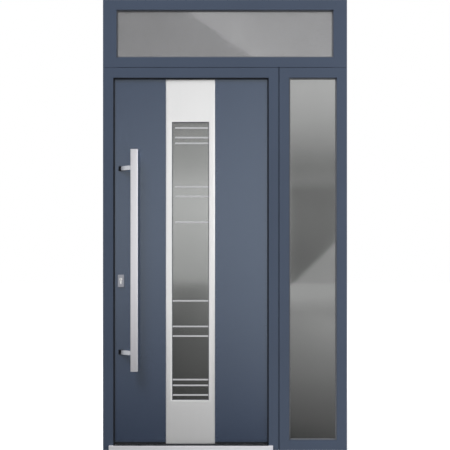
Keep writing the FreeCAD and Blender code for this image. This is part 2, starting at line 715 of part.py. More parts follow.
# Lock plate outside and inside, one cylinder through both.
for label, y in (
    ("lock_plate_outer", LEAF_FRONT - S["lock_thick"]),
    ("lock_plate_inner", BACK),
):
    plate = node(new_body(label))
    place(plate, KEY_X - S["lock_width"] / 2, y, S["lock_z"] - S["lock_height"] / 2)
    outline = new_sketch(plate, "XZ_Plane", "outline")
    rectangle(outline, 0, 0, S["lock_width"], S["lock_height"])
    plain_plate = pad(plate, outline, S["lock_thick"], True)
    doc.recompute()
    names = []
    for number, line in enumerate(plain_plate.Shape.Edges, start=1):
        if abs(line.tangentAt(line.FirstParameter).y) > 0.99:
            names.append(f"Edge{number}")
    rounding = doc.addObject("PartDesign::Fillet", label + "_rounding")
    plate.addObject(rounding)
    rounding.Base = (plain_plate, names)
    rounding.Radius = S["lock_round"].value
    bind(rounding, "Radius", S["lock_round"])
    plate.Tip = rounding
    key_hole(plate, KEY_X - S["lock_width"] / 2, S["lock_z"] - S["lock_height"] / 2)
    outside = label == "lock_plate_outer"
    base = as_size(0) if outside else -S["lock_thick"]
    sockets = new_sketch(plate, "XZ_Plane", "screw_sockets", base)
    for way in (-1, 1):
        height = S["lock_height"] / 2 + S["lock_screw_off"] * way
        circle(sockets, S["lock_width"] / 2, height, S["lock_screw"])
    cut_deep(plate, sockets, S["lock_screw_deep"], not outside)
cylinder = node(new_body("lock_cylinder"))
KEY_FRONT = LEAF_FRONT - S["lock_thick"] - S["key_proud"]
place(cylinder, KEY_X, KEY_FRONT, KEY_Z)
KEY_LONG = S["leaf_depth"] + (S["lock_thick"] + S["key_proud"]) * 2
outline = new_sketch(cylinder, "XZ_Plane", "round")
circle(outline, 0, 0, S["key_radius"] - 0.1)
pad(cylinder, outline, KEY_LONG, True)
outline = new_sketch(cylinder, "XZ_Plane", "lower")
rectangle(
    outline, -(S["key_slot"] / 2 - 0.1), -(S["key_drop"] + S["key_slot"] / 2 - 0.1),
    S["key_slot"] / 2 - 0.1, 0,
)
pad(cylinder, outline, KEY_LONG, True)

# Edge plate of the lock, let into the leaf's edge frame.
EDGE_Y = PLATE_Y - S["edge_plate_width"] / 2
recess = new_sketch(edge_frame, "XZ_Plane", "lock_edge", -(EDGE_Y - CORE_FRONT + S["edge_plate_width"]))
rectangle(
    recess, -SPARE, PLATE_LOW - LEAF_SHEET_FOOT, S["edge_plate"], PLATE_HIGH - LEAF_SHEET_FOOT,
)
cut_deep(edge_frame, recess, S["edge_plate_width"], True)
edge_plate = node(new_body("lock_edge_plate"))
place(edge_plate, LEAF_LEFT, EDGE_Y, PLATE_LOW)
outline = new_sketch(edge_plate, "XY_Plane", "section")
rectangle(outline, 0, 0, S["edge_plate"], S["edge_plate_width"])
pad(edge_plate, outline, PLATE_HIGH - PLATE_LOW)

# Inside lever.
rose = node(new_body("lever_rose"))
place(rose, KEY_X, BACK, S["lever_z"])
outline = new_sketch(rose, "XZ_Plane", "outline")
circle(outline, 0, 0, S["rose_radius"])
pad(rose, outline, S["rose_thick"], True)
lever = node(new_body("lever_handle"))
place(lever, KEY_X, BACK + S["rose_thick"], S["lever_z"])
outline = new_sketch(lever, "XZ_Plane", "neck")
circle(outline, 0, 0, S["lever_radius"])
pad(lever, outline, S["lever_neck"] + S["lever_radius"], True)
outline = new_sketch(lever, "YZ_Plane", "grip")
circle(outline, S["lever_neck"], 0, S["lever_radius"])
pad(lever, outline, S["lever_length"])

# Hinges on the inside, at the right. The axis stands off the inner face.
AXIS_X = LEAF_RIGHT + S["leaf_gap"] / 2
AXIS_Y = BACK + S["hinge_out"]
BARREL = S["knuckle_length"] * 3 + S["knuckle_gap"] * 2
HINGE_BASE = S["hinge_low"] - BARREL / 2
HINGE_STEP = (JOINT_Z - S["hinge_drop"] - S["hinge_low"]) / 2


def hinge_half(label, side, ranges):
    """Plates and barrel parts of one side of all three hinges; side 1 is the jamb's."""
    body = node(new_body(label))
    place(body, AXIS_X, AXIS_Y, HINGE_BASE)
    made = []
    outline = new_sketch(body, "XY_Plane", "flap")
    near = as_size(S["hinge_clear"]) * side
    far = (S["hinge_clear"] + S["hinge_flap"]) * side
    rectangle(outline, near, -S["hinge_out"], far, -S["hinge_out"] + S["hinge_plate"])
    made.append(pad(body, outline, BARREL))
    for index, (low, length) in enumerate(ranges):
        outline = new_sketch(body, "XY_Plane", f"barrel{index}", low)
        circle(outline, 0, 0, S["knuckle_radius"])
        made.append(pad(body, outline, length))
        outline = new_sketch(body, "XY_Plane", f"web{index}", low)
        rectangle(
            outline, 0, -S["hinge_out"] + S["hinge_sink"],
            (S["hinge_clear"] + S["hinge_lap"]) * side,
            -S["hinge_out"] + S["hinge_plate"] + S["hinge_web"],
        )
        made.append(pad(body, outline, length))
    outline = new_sketch(body, "XY_Plane", "bore", -SPARE)
    circle(outline, 0, 0, S["pin_radius"] + S["pin_free"])
    bore = doc.addObject("PartDesign::Pocket", label + "_bore")
    body.addObject(bore)
    bore.Profile = outline
    bore.Length = (BARREL + SPARE * 2).value
    bind(bore, "Length", BARREL + SPARE * 2)
    bore.Reversed = True
    body.Tip = bore
    made.append(bore)
    repeat(body, made, "Z_Axis", HINGE_STEP, 3)
    return body


STEP = S["knuckle_length"] + S["knuckle_gap"]
hinge_half("hinge_jamb_side", 1, [(0, S["knuckle_length"]), (STEP * 2, S["knuckle_length"])])
hinge_half("hinge_leaf_side", -1, [(STEP, S["knuckle_length"])])
pins = node(new_body("hinge_pins"))
place(pins, AXIS_X, AXIS_Y, HINGE_BASE)
made = []
outline = new_sketch(pins, "XY_Plane", "shaft", -S["pin_end"])
circle(outline, 0, 0, S["pin_radius"])
made.append(pad(pins, outline, BARREL + S["pin_end"] * 2))
LIP = S["pin_lip"]
for name, low in (("cap_low", -(LIP + S["pin_cap"])), ("cap_high", BARREL + LIP)):
    outline = new_sketch(pins, "XY_Plane", name, low)
    circle(outline, 0, 0, S["knuckle_radius"])
    made.append(pad(pins, outline, S["pin_cap"]))
repeat(pins, made, "Z_Axis", HINGE_STEP, 3)

doc.recompute()
problems = []
for item in doc.Objects:
    if "Invalid" in item.State or "Error" in item.State:
        problems.append(item.Name)
for item in NODES:
    if item.Shape.isNull() or not item.Shape.isValid() or item.Shape.Volume <= 0:
        problems.append(item.Label)
if problems:
    raise RuntimeError("these need mending: " + ", ".join(problems))

for item in NODES:
    box = item.Shape.BoundBox
    print(
        f"{item.Label} x {box.XMin:.1f} {box.XMax:.1f} y {box.YMin:.1f} {box.YMax:.1f}"
        f" z {box.ZMin:.1f} {box.ZMax:.1f} solids {len(item.Shape.Solids)}"
        f" volume {item.Shape.Volume / 1e6:.3f}"
    )
    item.Shape.exportStep(f"parts/{item.Label}.step")
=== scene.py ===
"""Looks for an entrance door with a side light and a top light. Metres, the same frame as the solids:
X to the right seen from outside, Y into the house, Z up."""

import json
import math

import bmesh
import bpy
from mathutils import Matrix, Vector


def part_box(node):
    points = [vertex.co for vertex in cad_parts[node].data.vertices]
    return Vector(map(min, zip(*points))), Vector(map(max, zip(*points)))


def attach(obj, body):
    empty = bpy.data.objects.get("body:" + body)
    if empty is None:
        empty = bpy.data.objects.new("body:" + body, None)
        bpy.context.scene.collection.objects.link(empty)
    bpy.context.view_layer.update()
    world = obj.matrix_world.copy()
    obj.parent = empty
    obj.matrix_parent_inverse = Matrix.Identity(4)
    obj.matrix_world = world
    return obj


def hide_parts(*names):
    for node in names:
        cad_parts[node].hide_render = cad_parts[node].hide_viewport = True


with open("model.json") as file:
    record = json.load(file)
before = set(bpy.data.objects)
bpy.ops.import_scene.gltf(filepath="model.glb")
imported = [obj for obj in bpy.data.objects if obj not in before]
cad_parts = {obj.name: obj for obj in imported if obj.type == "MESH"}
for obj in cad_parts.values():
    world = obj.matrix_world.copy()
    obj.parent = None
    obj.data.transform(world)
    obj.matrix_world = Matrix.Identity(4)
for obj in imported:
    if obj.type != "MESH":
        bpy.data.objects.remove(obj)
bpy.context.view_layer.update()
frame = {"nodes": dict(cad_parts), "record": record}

FRAME_NODES = frame["nodes"]
FRONT_Y = -0.045  # the frame's outer face


# Node helpers.
def new_material(name):
    mat = bpy.data.materials.new(name)
    mat.use_nodes = True
    return mat, mat.node_tree.nodes, mat.node_tree.links, mat.node_tree.nodes["Principled BSDF"]


def object_noise(nodes, links, stretch, scale, detail, rough=0.55, shift=(0, 0, 0)):
    """Noise in the object's own metres, stretched along its axes."""
    coord = nodes.new("ShaderNodeTexCoord")
    mapping = nodes.new("ShaderNodeMapping")
    mapping.inputs["Scale"].default_value = stretch
    mapping.inputs["Location"].default_value = shift
    noise = nodes.new("ShaderNodeTexNoise")
    noise.inputs["Scale"].default_value = scale
    noise.inputs["Detail"].default_value = detail
    noise.inputs["Roughness"].default_value = rough
    links.new(coord.outputs["Object"], mapping.inputs["Vector"])
    links.new(mapping.outputs["Vector"], noise.inputs["Vector"])
    return noise.outputs["Fac"]


def ramp(nodes, links, source, stops):
    """Colours between the low and the high end of a value."""
    node = nodes.new("ShaderNodeValToRGB")
    elements = node.color_ramp.elements
    while len(elements) < len(stops):
        elements.new(0.5)
    for element, (place, colour) in zip(elements, stops):
        element.position = place
        element.color = (*colour, 1.0)
    links.new(source, node.inputs["Fac"])
    return node.outputs["Color"]


def spread(nodes, links, source, low, high, from_low=0.3, from_high=0.7):
    """Low up to one value of the source, high from another on, and even in between."""
    node = nodes.new("ShaderNodeMapRange")
    node.inputs["From Min"].default_value = from_low
    node.inputs["From Max"].default_value = from_high
    node.inputs["To Min"].default_value = low
    node.inputs["To Max"].default_value = high
    links.new(source, node.inputs["Value"])
    return node.outputs["Result"]


def bump(nodes, links, shader, height, strength, distance):
    node = nodes.new("ShaderNodeBump")
    node.inputs["Strength"].default_value = strength
    node.inputs["Distance"].default_value = distance
    links.new(height, node.inputs["Height"])
    links.new(node.outputs["Normal"], shader.inputs["Normal"])


def scaled(colour, factor):
    return tuple(min(1.0, c * factor) for c in colour)


# Materials. A brushed finish is stretched along its scratches.
PAINT = (0.054, 0.073, 0.113)
LEAF_PAINT = (0.025, 0.039, 0.078)
LEAF_SHEEN = (0.76, 0.87, 1.0)
EVEN = (1, 1, 1)
UPRIGHT = (1, 1, 0.03)
LENGTHWISE = (0.03, 1, 1)


def paint(name, colour, roughness, specular, ior=1.5, sheen=(1, 1, 1)):
    """Satin powder coat: faint cloudiness and a fine orange-peel skin."""
    mat, nodes, links, shader = new_material(name)
    shader.inputs["IOR"].default_value = ior
    shader.inputs["Specular Tint"].default_value = (*sheen, 1)
    cloud = object_noise(nodes, links, EVEN, 3.0, 2.0)
    tint = ramp(nodes, links, cloud, [(0.3, scaled(colour, 0.965)), (0.7, scaled(colour, 1.035))])
    links.new(tint, shader.inputs["Base Color"])
    fine = object_noise(nodes, links, EVEN, 900.0, 2.0)
    links.new(spread(nodes, links, fine, roughness - 0.03, roughness + 0.03), shader.inputs["Roughness"])
    bump(nodes, links, shader, fine, 0.12, 0.0002)
    shader.inputs["Specular IOR Level"].default_value = specular
    return mat


def brushed(name, colour, roughness, stretch, contrast, metallic, across=0.0):
    """Brushed metal: long fine scratches along one axis and soft streaks over them."""
    mat, nodes, links, shader = new_material(name)
    fine = object_noise(nodes, links, stretch, 260.0, 4.0, 0.6)
    streak = object_noise(nodes, links, stretch, 34.0, 3.0, 0.6, (3.1, 1.7, 0.4))
    tint = ramp(
        nodes, links, streak,
        [(0.25, scaled(colour, 1 - contrast)), (0.75, scaled(colour, 1 + contrast))],
    )
    links.new(tint, shader.inputs["Base Color"])
    shader.inputs["Metallic"].default_value = metallic
    shader.inputs["Anisotropic"].default_value = across
    links.new(spread(nodes, links, fine, roughness - 0.02, roughness + 0.02), shader.inputs["Roughness"])
    bump(nodes, links, shader, fine, 0.02, 0.0001)
    return mat


def rubber(name, colour):
    mat, nodes, links, shader = new_material(name)
    grain = object_noise(nodes, links, EVEN, 420.0, 3.0)
    links.new(
        ramp(nodes, links, grain, [(0.3, scaled(colour, 0.8)), (0.7, scaled(colour, 1.3))]),
        shader.inputs["Base Color"],
    )
    links.new(spread(nodes, links, grain, 0.55, 0.75), shader.inputs["Roughness"])
    bump(nodes, links, shader, grain, 0.2, 0.0003)
    return mat


def pane_glass(name, colour, mirror, roughness):
    """Sun-control glass: a see-through body under a thin partly mirrored coat."""
    mat, nodes, links, shader = new_material(name)
    haze = object_noise(nodes, links, EVEN, 2.2, 2.0)
    links.new(
        ramp(nodes, links, haze, [(0.3, scaled(colour, 0.97)), (0.7, scaled(colour, 1.03))]),
        shader.inputs["Base Color"],
    )
    shader.inputs["Metallic"].default_value = mirror
    links.new(spread(nodes, links, haze, roughness, roughness + 0.02), shader.inputs["Roughness"])
    shader.inputs["IOR"].default_value = 1.5
    shader.inputs["Transmission Weight"].default_value = 1.0
    return mat


def etched(name, colour):
    """Acid-etched glass: pale and matt."""
    mat, nodes, links, shader = new_material(name)
    grain = object_noise(nodes, links, EVEN, 700.0, 3.0)
    links.new(
        ramp(nodes, links, grain, [(0.3, scaled(colour, 0.94)), (0.7, scaled(colour, 1.05))]),
        shader.inputs["Base Color"],
    )
    links.new(spread(nodes, links, grain, 0.45, 0.6), shader.inputs["Roughness"])
    bump(nodes, links, shader, grain, 0.15, 0.0001)
    return mat


def foam(name, colour):
    mat, nodes, links, shader = new_material(name)
    cells = nodes.new("ShaderNodeTexVoronoi")
    cells.inputs["Scale"].default_value = 260.0
    coord = nodes.new("ShaderNodeTexCoord")
    links.new(coord.outputs["Object"], cells.inputs["Vector"])
    links.new(
        ramp(nodes, links, cells.outputs["Distance"], [(0.0, scaled(colour, 0.8)), (0.6, colour)]),
        shader.inputs["Base Color"],
    )
    shader.inputs["Roughness"].default_value = 0.9
    bump(nodes, links, shader, cells.outputs["Distance"], 0.4, 0.0006)
    return mat


MATS = {
    "frame_paint": paint("frame_paint_finish", PAINT, 0.5, 0.45),
    "leaf_paint": paint("leaf_paint_finish", LEAF_PAINT, 0.27, 1.0, 1.95, LEAF_SHEEN),
    "strip_steel": brushed(
        "strip_steel_finish", (0.96, 0.96, 0.96), 0.34, UPRIGHT, contrast=0.015, metallic=0.6, across=0.8,
    ),
    "bar_steel": brushed(
        "bar_steel_finish", (0.945, 0.935, 0.98), 0.36, UPRIGHT, contrast=0.01, metallic=0.8, across=0.7,
    ),
    "post_steel": brushed(
        "post_steel_finish", (0.91, 0.93, 1.0), 0.22, (0.2, 0.2, 1), contrast=0.02, metallic=0.72,
    ),
    "plate_steel": brushed(
        "plate_steel_finish", (0.56, 0.57, 0.63), 0.3, (1, 1, 0.05), contrast=0.03, metallic=0.8,
    ),
    "bright": brushed("bright_finish", (0.98, 0.98, 0.97), 0.25, EVEN, contrast=0.01, metallic=0.4),
    "aluminium": brushed(
        "aluminium_finish", (0.92, 0.91, 0.95), 0.5, LENGTHWISE, contrast=0.02, metallic=0.4,
    ),
    "black_rubber": rubber("black_rubber_finish", (0.014, 0.016, 0.021)),
    "spacer": rubber("spacer_finish", (0.05, 0.05, 0.055)),
    "gasket": rubber("gasket_finish", (0.150, 0.156, 0.170)),
    "foam": foam("foam_finish", (0.72, 0.68, 0.52)),
    "side_glass": pane_glass("side_glass_finish", (0.50, 0.505, 0.50), 0.5, 0.02),
    "top_glass": pane_glass("top_glass_finish", (0.93, 0.93, 0.94), 0.68, 0.02),
    "leaf_glass": pane_glass("leaf_glass_finish", (0.58, 0.59, 0.58), 0.52, 0.05),
    "etched": etched("etched_finish", (0.52, 0.52, 0.54)),
    # Near-black, for painted shade: the posts' feet, the screws' slots and the keyways.
    "dark": rubber("dark_finish", (0.006, 0.006, 0.008)),
}

LOOK = {
    "frame_paint": "frame_paint", "steel": "plate_steel", "cylinder": "bright",
    "aluminium": "aluminium", "black_rubber": "black_rubber", "glass": "side_glass",
    "spacer": "spacer", "foam": "foam",
}
OWN_LOOK = {
    "leaf_outer_skin": "leaf_paint", "leaf_inner_skin": "leaf_paint", "leaf_strip": "strip_steel",
    "pull_bar": "bar_steel", "pull_posts": "post_steel", "leaf_panes": "leaf_glass",
    "transom_panes": "top_glass", "leaf_glazing_frame": "leaf_paint",
    "sidelight_gasket": "gasket", "transom_gasket": "gasket", "leaf_glass_gasket": "gasket",
}
SLOTS = {part["node"]: part["material_slot"] for part in frame["record"]["subparts"]}


def look_of(node):
    return MATS[OWN_LOOK.get(node, LOOK[SLOTS[node]])]


for name, thing in FRAME_NODES.items():
    thing.data.materials.clear()
    thing.data.materials.append(look_of(name))


# Mesh helpers.
def finish_mesh(name, bm, material, body, smooth_angle=35, level=()):
    """Turn a bmesh into a piece that rides on a body. The faces in level are shaded flat."""
    bmesh.ops.recalc_face_normals(bm, faces=bm.faces)
    limit = math.radians(smooth_angle)
    for face in bm.faces:
        face.smooth = True
    for face in level:
        face.smooth = False
    for edge in bm.edges:
        if len(edge.link_faces) == 2:
            edge.smooth = edge.calc_face_angle(0.0) < limit
    mesh = bpy.data.meshes.new(name)
    bm.to_mesh(mesh)
    bm.free()
    thing = bpy.data.objects.new(name, mesh)
    bpy.context.scene.collection.objects.link(thing)
    thing.data.materials.append(material)
    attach(thing, body)
    return thing


def body_of_node(node):
    for name, nodes in frame["record"]["behaviour"]["bodies"].items():
        if node in nodes:
            return name
    raise KeyError(node)


def add_box(bm, low, high, chamfer=0.0):
    """A box between two corners, with a narrow chamfer where one is given."""
    made = bmesh.ops.create_cube(bm, size=1.0)["verts"]
    low, high = Vector(low), Vector(high)
    for vert in made:
        vert.co = Vector([low[i] + (vert.co[i] + 0.5) * (high[i] - low[i]) for i in range(3)])
    if chamfer:
        edges = list({edge for vert in made for edge in vert.link_edges})
        bmesh.ops.bevel(
            bm, geom=edges, offset=chamfer, offset_type="OFFSET", segments=1,
            profile=0.5, affect="EDGES",
        )


def lathe(bm, profile, centre, axis, steps):
    """Turn a profile of (radius, distance along the axis) about an axis through centre."""
    axis = Vector(axis).normalized()
    side = axis.orthogonal().normalized()
    other = axis.cross(side)
    rings = []
    for radius, along in profile:
        if radius == 0:
            rings.append([bm.verts.new(Vector(centre) + axis * along)])
            continue
        ring = []
        for step in range(steps):
            angle = 2 * math.pi * step / steps
            out = side * math.cos(angle) + other * math.sin(angle)
            ring.append(bm.verts.new(Vector(centre) + axis * along + out * radius))
        rings.append(ring)
    for first, second in zip(rings, rings[1:]):
        for step in range(steps):
            after = (step + 1) % steps
            if len(first) == 1:
                bm.faces.new((first[0], second[step], second[after]))
            elif len(second) == 1:
                bm.faces.new((first[step], first[after], second[0]))
            else:
                bm.faces.new((first[step], first[after], second[after], second[step]))


SHARP = math.radians(30)
FLAT = math.radians(0.5)


def bevelled(bm, width, segments=2):
    """Round every sharp edge of a solid and return its flat faces."""
    bmesh.ops.remove_doubles(bm, verts=bm.verts, dist=1e-6)
    bmesh.ops.dissolve_limit(
        bm, angle_limit=FLAT, verts=bm.verts, edges=bm.edges, delimit=set(),
    )
    sharp = [
        edge for edge in bm.edges
        if len(edge.link_faces) == 2 and edge.calc_face_angle(0.0) > SHARP
    ]
    rounding = set(bmesh.ops.bevel(
        bm, geom=sharp, offset=width, offset_type="OFFSET", segments=segments,
        profile=0.7, affect="EDGES", clamp_overlap=True,
    )["faces"])
    level = []
    for face in bm.faces:
        if face in rounding:
            continue
        beside = [
            edge for edge in face.edges
            if len(edge.link_faces) == 2 and not rounding.intersection(edge.link_faces)
        ]
        if all(edge.calc_face_angle(0.0) < FLAT for edge in beside):
            level.append(face)
    return level


def softened(node, width, segments=2):
    """A copy of a solid's mesh with its sharp edges rounded, standing for that solid."""
    bm = bmesh.new()
    bm.from_mesh(FRAME_NODES[node].data)
    level = bevelled(bm, width, segments)
    thing = finish_mesh(
        node + "_edged", bm, look_of(node), body_of_node(node), level=level,
    )
    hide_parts(node)


def welded(name, nodes, width):
    """Members whose corner joints are welded and ground flush: one skin over all of them."""
    first = bpy.data.objects.new("joining", FRAME_NODES[nodes[0]].data.copy())
    bpy.context.scene.collection.objects.link(first)
    for node in nodes[1:]:
        step = first.modifiers.new(node, "BOOLEAN")
        step.operation = "UNION"
        step.solver = "EXACT"
        step.object = FRAME_NODES[node]
    evaluated = first.evaluated_get(bpy.context.evaluated_depsgraph_get())
    bm = bmesh.new()
    bm.from_mesh(evaluated.to_mesh())
    evaluated.to_mesh_clear()
    bpy.data.objects.remove(first)
    level = bevelled(bm, width)
    thing = finish_mesh(
        name, bm, look_of(nodes[0]), body_of_node(nodes[0]), level=level,
    )
    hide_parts(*nodes)


def rectangle_ring(bm, low_x, high_x, low_z, high_z, inset, y):
    """Four corners of a rectangle drawn in by inset."""
    return [
        bm.verts.new((x, y, z)) for x, z in (
            (low_x + inset, low_z + inset), (high_x - inset, low_z + inset),
            (high_x - inset, high_z - inset), (low_x + inset, high_z - inset),
        )
    ]


def bridge(bm, first, second):
    """Four faces between two rings of four corners."""
    made = []
    for index in range(4):
        after = (index + 1) % 4
        made.append(bm.faces.new((first[index], first[after], second[after], second[index])))
    return made


# Frame members, threshold, sheets and hardware get soft edges. Each width is a rounding in metres.
CORNER_WIDTH = 0.0005
welded("door_frame_welded", ["door_jamb_lock", "door_jamb_hinge", "door_head"], CORNER_WIDTH)
welded(
    "sidelight_frame_welded",
    ["sidelight_stile_left", "sidelight_stile_right", "sidelight_head", "sidelight_sill"], CORNER_WIDTH,
)
welded(
    "transom_frame_welded",
    ["transom_stile_left", "transom_stile_right", "transom_head", "transom_sill"], CORNER_WIDTH,
)
EDGE_WIDTHS = {
    "sidelight_beads": 0.0012, "transom_beads": 0.0012, "threshold": 0.0012, "leaf_outer_skin": 0.0008,
    "leaf_inner_skin": 0.0008, "leaf_glazing_frame": 0.0012, "leaf_foot_profile": 0.001,
}
FINE_EDGE_WIDTHS = {
    "pull_bar": 0.001, "pull_posts": 0.0012, "lock_plate_outer": 0.0008, "lock_plate_inner": 0.0008,
    "lever_rose": 0.0015,
}
HINGE_EDGE_WIDTHS = {"hinge_jamb_side": 0.0005, "hinge_leaf_side": 0.0005, "hinge_pins": 0.0008}
for widths, segments in ((EDGE_WIDTHS, 2), (FINE_EDGE_WIDTHS, 3), (HINGE_EDGE_WIDTHS, 2)):
    for node, width in widths.items():
        softened(node, width, segments)

# The steel strip: a pressed sheet whose outer and window edges roll back softly.
low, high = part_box("leaf_strip")
pane_low, pane_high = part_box("leaf_panes")
# The panes reach behind the strip by this much on every side.
PANE_REACH = 0.011
window = (
    pane_low.x + PANE_REACH, pane_high.x - PANE_REACH, pane_low.z + PANE_REACH, pane_high.z - PANE_REACH,
)
thick = high.y - low.y
# Each pair: distance in from the edge, depth behind the strip's face.
ROLLED = ((0.0, 1.0), (0.0, 0.62), (0.0009, 0.36), (0.0026, 0.17), (0.0052, 0.05), (0.0085, 0.0))
strip = bmesh.new()
outside = [
    rectangle_ring(strip, low.x, high.x, low.z, high.z, inset, low.y + depth * thick)
    for inset, depth in ROLLED
]
inside = [
    rectangle_ring(strip, *window, -inset, low.y + depth * thick) for inset, depth in ROLLED
]
for rings in (outside, inside):
    for first, second in zip(rings, rings[1:]):
        bridge(strip, first, second)
level = bridge(strip, outside[-1], inside[-1]) + bridge(strip, outside[0], inside[0])
strip_piece = finish_mesh("leaf_strip_pressed", strip, MATS["strip_steel"], "leaf", 40, level)
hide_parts("leaf_strip")

# A ridged near-black strip lies on the threshold between the jambs, in front of the leaf: painted shade on
# the threshold's top.
RIDGES = 9
RIDGE_HEIGHT = 0.001
GROOVE_SHARE = 0.2
SHADE_STRIP_SUNK = 0.0005
SHADE_STRIP_END_GAP = 0.001
SHADE_STRIP_FRONT_GAP = 0.005
SHADE_STRIP_BACK_GAP = 0.0015
# The threshold falls by 1 mm over its first 36 mm.
FALL, FALL_DEPTH = 0.001, 0.036
sill_low, sill_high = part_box("threshold")
shade_strip_ends = (
    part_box("door_jamb_lock")[1].x + SHADE_STRIP_END_GAP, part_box("door_jamb_hinge")[0].x - SHADE_STRIP_END_GAP,
)
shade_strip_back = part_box("leaf_outer_skin")[0].y - SHADE_STRIP_BACK_GAP
shade_strip_front = sill_low.y + SHADE_STRIP_FRONT_GAP


def over_threshold(y, lift):
    """A point of the painted shade strip's outline, by its height over the threshold's top."""
    top = sill_high.z - FALL * max(0.0, 1 - (y - sill_low.y) / FALL_DEPTH)
    return (y, top + lift)


groove = RIDGE_HEIGHT * GROOVE_SHARE
pitch = (shade_strip_back - shade_strip_front) / RIDGES
outline = [over_threshold(shade_strip_front, -SHADE_STRIP_SUNK)]
for index in range(RIDGES):
    y = shade_strip_front + pitch * index
    # Each ridge: share of the pitch, height.
    for share, lift in ((0.0, groove), (0.25, RIDGE_HEIGHT), (0.6, RIDGE_HEIGHT), (0.85, groove)):
        outline.append(over_threshold(y + pitch * share, lift))
outline.append(over_threshold(shade_strip_back, groove))
outline.append(over_threshold(shade_strip_back, -SHADE_STRIP_SUNK))
shade_strip = bmesh.new()
ends = [[shade_strip.verts.new((x, y, z)) for y, z in outline] for x in shade_strip_ends]
shade_strip.faces.new(ends[0])
shade_strip.faces.new(ends[1])
for index in range(len(outline)):
    after = (index + 1) % len(outline)
    shade_strip.faces.new((ends[0][index], ends[0][after], ends[1][after], ends[1][index]))
# Near-black rubber look: painted shade where the threshold's top lies in shadow before the leaf.
finish_mesh("threshold_painted_shade", shade_strip, MATS["black_rubber"], "frame", 20)

# Etched bands on the leaf's front pane, mirror images above and below a level near its middle.
# The upper ones start a little further in from the lock side.
BAND_OFFSETS = (0.7253, 0.6730, 0.6419, 0.4053, 0.3531, 0.2138)
BANDS_BELOW_MIDDLE = 0.0025
HALF_BAND = 0.0042
BAND_INSET = 0.004
UPPER_BAND_INSET = 0.013
BAND_FRONT, BAND_BACK = 0.0006, 0.0001
BAND_CHAMFER = 0.0002
bands_left = window[0] + BAND_INSET
bands_right = window[1] - BAND_INSET
middle = (pane_low.z + pane_high.z) / 2 - BANDS_BELOW_MIDDLE
bands = bmesh.new()
for offset in BAND_OFFSETS:
    for way in (-1, 1):
        z = middle + offset * way
        start = bands_left + (UPPER_BAND_INSET if way > 0 else 0)
        add_box(
            bands, (start, pane_low.y - BAND_FRONT, z - HALF_BAND),
            (bands_right, pane_low.y - BAND_BACK, z + HALF_BAND), BAND_CHAMFER,
        )
finish_mesh("leaf_glass_bands", bands, MATS["etched"], "leaf")

# Near-black boxes round the feet of the bar's slanted posts: painted shade that darkens the posts' ends
# where they meet the leaf.
low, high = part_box("pull_posts")
POST_HEIGHT, POST_WIDTH, POST_SLANT = 0.024, 0.022, 0.0685
FOOT_SHADE_THICK = 0.0006
FOOT_SHADE_DEEP = 0.0135
FOOT_SHADE_EDGE = 0.0008
lean = POST_SLANT / (high.y - low.y) * FOOT_SHADE_DEEP
foot_shades = bmesh.new()
for base in (low.z, high.z - POST_HEIGHT):
    corners = [
        [
            (low.x + shift - FOOT_SHADE_THICK, y, base - FOOT_SHADE_THICK),
            (low.x + shift + POST_WIDTH + FOOT_SHADE_THICK, y, base - FOOT_SHADE_THICK),
            (low.x + shift + POST_WIDTH + FOOT_SHADE_THICK, y, base + POST_HEIGHT + FOOT_SHADE_THICK),
            (low.x + shift - FOOT_SHADE_THICK, y, base + POST_HEIGHT + FOOT_SHADE_THICK),
        ]
        for shift, y in ((0.0, high.y), (lean, high.y - FOOT_SHADE_DEEP))
    ]
    foot, front = [[foot_shades.verts.new(corner) for corner in ring] for ring in corners]
    foot_shades.faces.new(foot)
    foot_shades.faces.new(front)
    bridge(foot_shades, foot, front)
level = bevelled(foot_shades, FOOT_SHADE_EDGE, 3)
# Near-black look: painted shade on the posts' feet.
finish_mesh("post_feet_painted_shade", foot_shades, MATS["dark"], "leaf", 35, level)

END_ROUNDING_SHARE = 0.35


def swept(points, radius, steps):
    """A round rod along a list of points, with rounded ends."""
    bm = bmesh.new()
    points = [Vector(point) for point in points]
    rings = []
    up = Vector((0, 0, 1))
    count = len(points)
    for index, point in enumerate(points):
        before = points[max(0, index - 1)]
        after = points[min(count - 1, index + 1)]
        along = (after - before).normalized()
        side = along.cross(up).normalized()
        rings.append([
            bm.verts.new(point + (side * math.cos(a) + up * math.sin(a)) * radius)
            for a in (2 * math.pi * step / steps for step in range(steps))
        ])
    for first, second in zip(rings, rings[1:]):
        for step in range(steps):
            after = (step + 1) % steps
            bm.faces.new((first[step], first[after], second[after], second[step]))
    bm.faces.new(rings[0])
    bm.faces.new(rings[-1])
    ends = [
        edge for ring in (rings[0], rings[-1])
        for edge in {edge for vert in ring for edge in vert.link_edges if edge.other_vert(vert) in ring}
    ]
    bmesh.ops.bevel(
        bm, geom=ends, offset=radius * END_ROUNDING_SHARE, segments=4, profile=0.5, affect="EDGES",
    )
    return bm


# Lever: one bent rod.
LEVER_RADIUS = 0.009
LEVER_BEND = 0.016
BEND_STEPS = 8
low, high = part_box("lever_handle")
neck_x = low.x + LEVER_RADIUS
lever_z = (low.z + high.z) / 2
grip_y = high.y - LEVER_RADIUS
bend_y = grip_y - LEVER_BEND
path = [(neck_x, low.y, lever_z), (neck_x, bend_y, lever_z)]
for step in range(1, BEND_STEPS + 1):
    angle = math.pi / 2 * step / BEND_STEPS
    path.append((
        neck_x + LEVER_BEND * (1 - math.cos(angle)), bend_y + LEVER_BEND * math.sin(angle), lever_z,
    ))
path.append((high.x, grip_y, lever_z))
lever = finish_mesh("lever_bent", swept(path, LEVER_RADIUS, 24), MATS["post_steel"], "leaf")
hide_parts("lever_handle")


